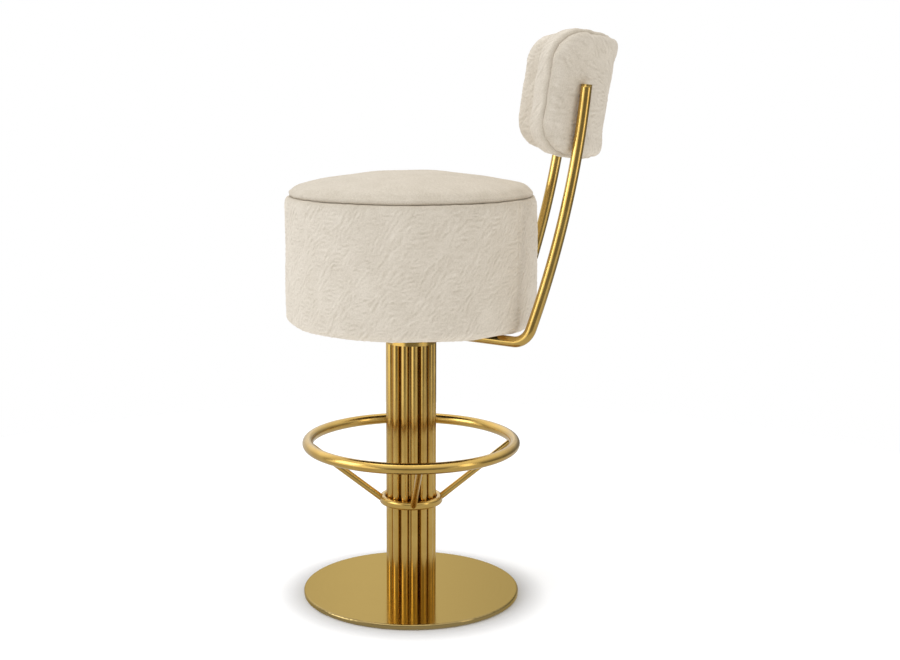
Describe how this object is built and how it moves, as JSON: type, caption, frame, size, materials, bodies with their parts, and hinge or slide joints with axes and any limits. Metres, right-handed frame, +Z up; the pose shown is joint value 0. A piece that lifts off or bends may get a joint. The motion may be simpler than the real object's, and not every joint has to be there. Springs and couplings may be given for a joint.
{
  "type": "bar stool with footrest",
  "caption": "Swivel bar stool: drum seat and curved back pad on two bent brass rods, column of upright tubes, ring footrest, round base.",
  "frame": {"origin": "on the floor, under the column's axis", "axes": "+Z up the column, the sitter faces -Y, the back pad stands at +Y, +X is the sitter's left"},
  "size_m": [0.451, 0.5825, 1.0343],
  "materials": {
    "polished_brass": "polished, lacquered",
    "satin_brass": "satin, turned in circles",
    "zinc_steel": "zinc plated",
    "nylon": "natural, machined",
    "rubber": "matt",
    "plywood": "raw birch plywood",
    "foam": "upholstery foam",
    "boucle": "cream pile fabric with a raised wandering pattern",
    "dust_cloth": "black non-woven dust cover"
  },
  "bodies": {
    "pedestal": {"floor_pad": "rubber", "base_plate": "satin_brass", "base_bolts": "zinc_steel", "column_plug": "zinc_steel", "column_core": "polished_brass", "column_tube_01": "polished_brass", "column_tube_02": "polished_brass", "column_tube_03": "polished_brass", "column_tube_04": "polished_brass", "column_tube_05": "polished_brass", "column_tube_06": "polished_brass", "column_tube_07": "polished_brass", "column_tube_08": "polished_brass", "column_tube_09": "polished_brass", "column_tube_10": "polished_brass", "column_tube_11": "polished_brass", "column_tube_12": "polished_brass", "column_tube_13": "polished_brass", "column_tube_14": "polished_brass", "column_cap": "polished_brass", "bearing_housing": "zinc_steel", "lower_bush": "nylon", "upper_bush": "nylon", "thrust_washer": "nylon", "footrest_ring": "polished_brass", "footrest_hub": "polished_brass", "hub_screws": "zinc_steel", "footrest_strut_1": "polished_brass", "footrest_strut_2": "polished_brass", "footrest_strut_3": "polished_brass", "footrest_strut_4": "polished_brass"},
    "seat": {"spindle": "zinc_steel", "spindle_washer": "zinc_steel", "spindle_clip": "zinc_steel", "seat_carrier": "polished_brass", "carrier_bolts": "zinc_steel", "tee_nuts": "zinc_steel", "seat_board": "plywood", "seat_wall": "plywood", "deck_posts": "plywood", "seat_deck": "plywood", "side_foam": "foam", "top_foam": "foam", "side_cover": "boucle", "top_cover": "boucle", "dust_cover": "dust_cloth", "back_rod_left": "polished_brass", "back_rod_right": "polished_brass", "back_board": "plywood", "back_foam": "foam", "back_front_cover": "boucle", "back_rear_cover": "boucle", "pad_bolts": "zinc_steel"}
  },
  "joints": [
    {"name": "seat_swivel", "type": "hinge", "parent": "pedestal", "child": "seat", "pos_m": [0, 0, 0.484], "axis": [0, 0, 1], "continuous": true}
  ]
}
